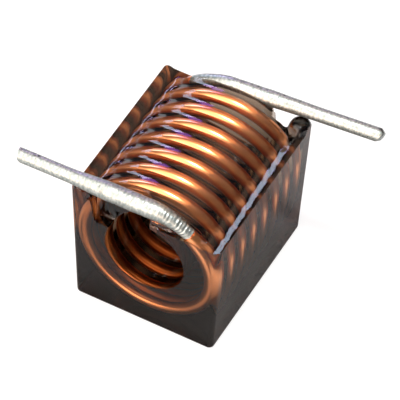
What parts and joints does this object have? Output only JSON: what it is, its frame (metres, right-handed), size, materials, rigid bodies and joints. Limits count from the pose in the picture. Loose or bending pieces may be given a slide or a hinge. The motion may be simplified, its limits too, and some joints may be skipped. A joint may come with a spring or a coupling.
{
  "type": "surface mount inductor",
  "caption": "Air-core surface mount inductor: an enamelled copper wire coil cast in a dark resin block, with tinned straight leads leaving at opposite corners of its top.",
  "frame": {"origin": "middle of the flat pick-up face that the block stands on, under the coil's middle", "axes": "+X along the rear lead towards its cut end, +Y along the coil's axis away from the front lead, +Z from the pick-up face towards the solder side"},
  "size_m": [0.0077, 0.0055, 0.0046],
  "materials": {
    "resin": "smooth dark translucent casting resin, almost black in depth and red-brown where it is thin",
    "enamelled_copper": "bright copper under clear orange enamel, glossy",
    "tin": "satin solder coat with fine cross scratches and grey pits"
  },
  "bodies": {
    "root": {"resin_body": "resin", "copper_winding": "enamelled_copper", "tin_coat_front": "tin", "tin_coat_rear": "tin"}
  },
  "joints": []
}
